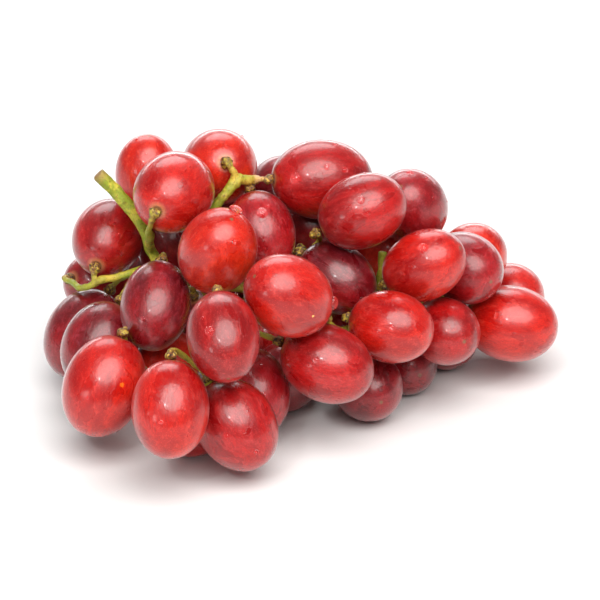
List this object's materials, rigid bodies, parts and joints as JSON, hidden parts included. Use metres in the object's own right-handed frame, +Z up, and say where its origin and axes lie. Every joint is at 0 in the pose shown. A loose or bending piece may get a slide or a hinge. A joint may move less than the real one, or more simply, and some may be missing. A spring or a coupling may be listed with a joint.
{
  "type": "bunch of grapes",
  "caption": "Bunch of red oval table grapes lying on its side, berries held on a branched green stem with a free stalk end.",
  "frame": {"origin": "middle of the bounding box at the height of the surface that the bunch lies on", "axes": "+X runs along the bunch from the stalk end to the tip, +Z is up, and -Y faces the side that the picture shows"},
  "size_m": [0.1512, 0.147, 0.0763],
  "materials": {
    "skin_orange": "waxy fruit skin, orange red",
    "skin_red": "waxy fruit skin, red",
    "skin_dark": "waxy fruit skin, dark red",
    "stem_green": "fresh green stem, brown warts"
  },
  "bodies": {
    "root": {"back_01": "skin_dark", "back_02": "skin_dark", "back_03": "skin_dark", "back_04": "skin_dark", "back_05": "skin_dark", "back_06": "skin_dark", "back_07": "skin_dark", "back_08": "skin_dark", "back_09": "skin_dark", "back_10": "skin_dark", "back_11": "skin_dark", "back_12": "skin_dark", "berry_a": "skin_orange", "berry_aa": "skin_red", "berry_b": "skin_orange", "berry_bb": "skin_red", "berry_c": "skin_orange", "berry_cc": "skin_dark", "berry_d": "skin_dark", "berry_dd": "skin_dark", "berry_e": "skin_red", "berry_ee": "skin_dark", "berry_f": "skin_red", "berry_ff": "skin_dark", "berry_g": "skin_dark", "berry_gg": "skin_dark", "berry_h": "skin_dark", "berry_hh": "skin_dark", "berry_i": "skin_dark", "berry_ii": "skin_dark", "berry_j": "skin_orange", "berry_jj": "skin_dark", "berry_k": "skin_dark", "berry_kk": "skin_dark", "berry_l": "skin_dark", "berry_ll": "skin_dark", "berry_m": "skin_orange", "berry_mm": "skin_dark", "berry_n": "skin_dark", "berry_nn": "skin_dark", "berry_o": "skin_red", "berry_p": "skin_dark", "berry_q": "skin_orange", "berry_r": "skin_orange", "berry_s": "skin_orange", "berry_t": "skin_red", "berry_u": "skin_dark", "berry_v": "skin_red", "berry_w": "skin_red", "berry_x": "skin_dark", "berry_y": "skin_dark", "berry_z": "skin_red", "stem": "stem_green"}
  },
  "joints": []
}
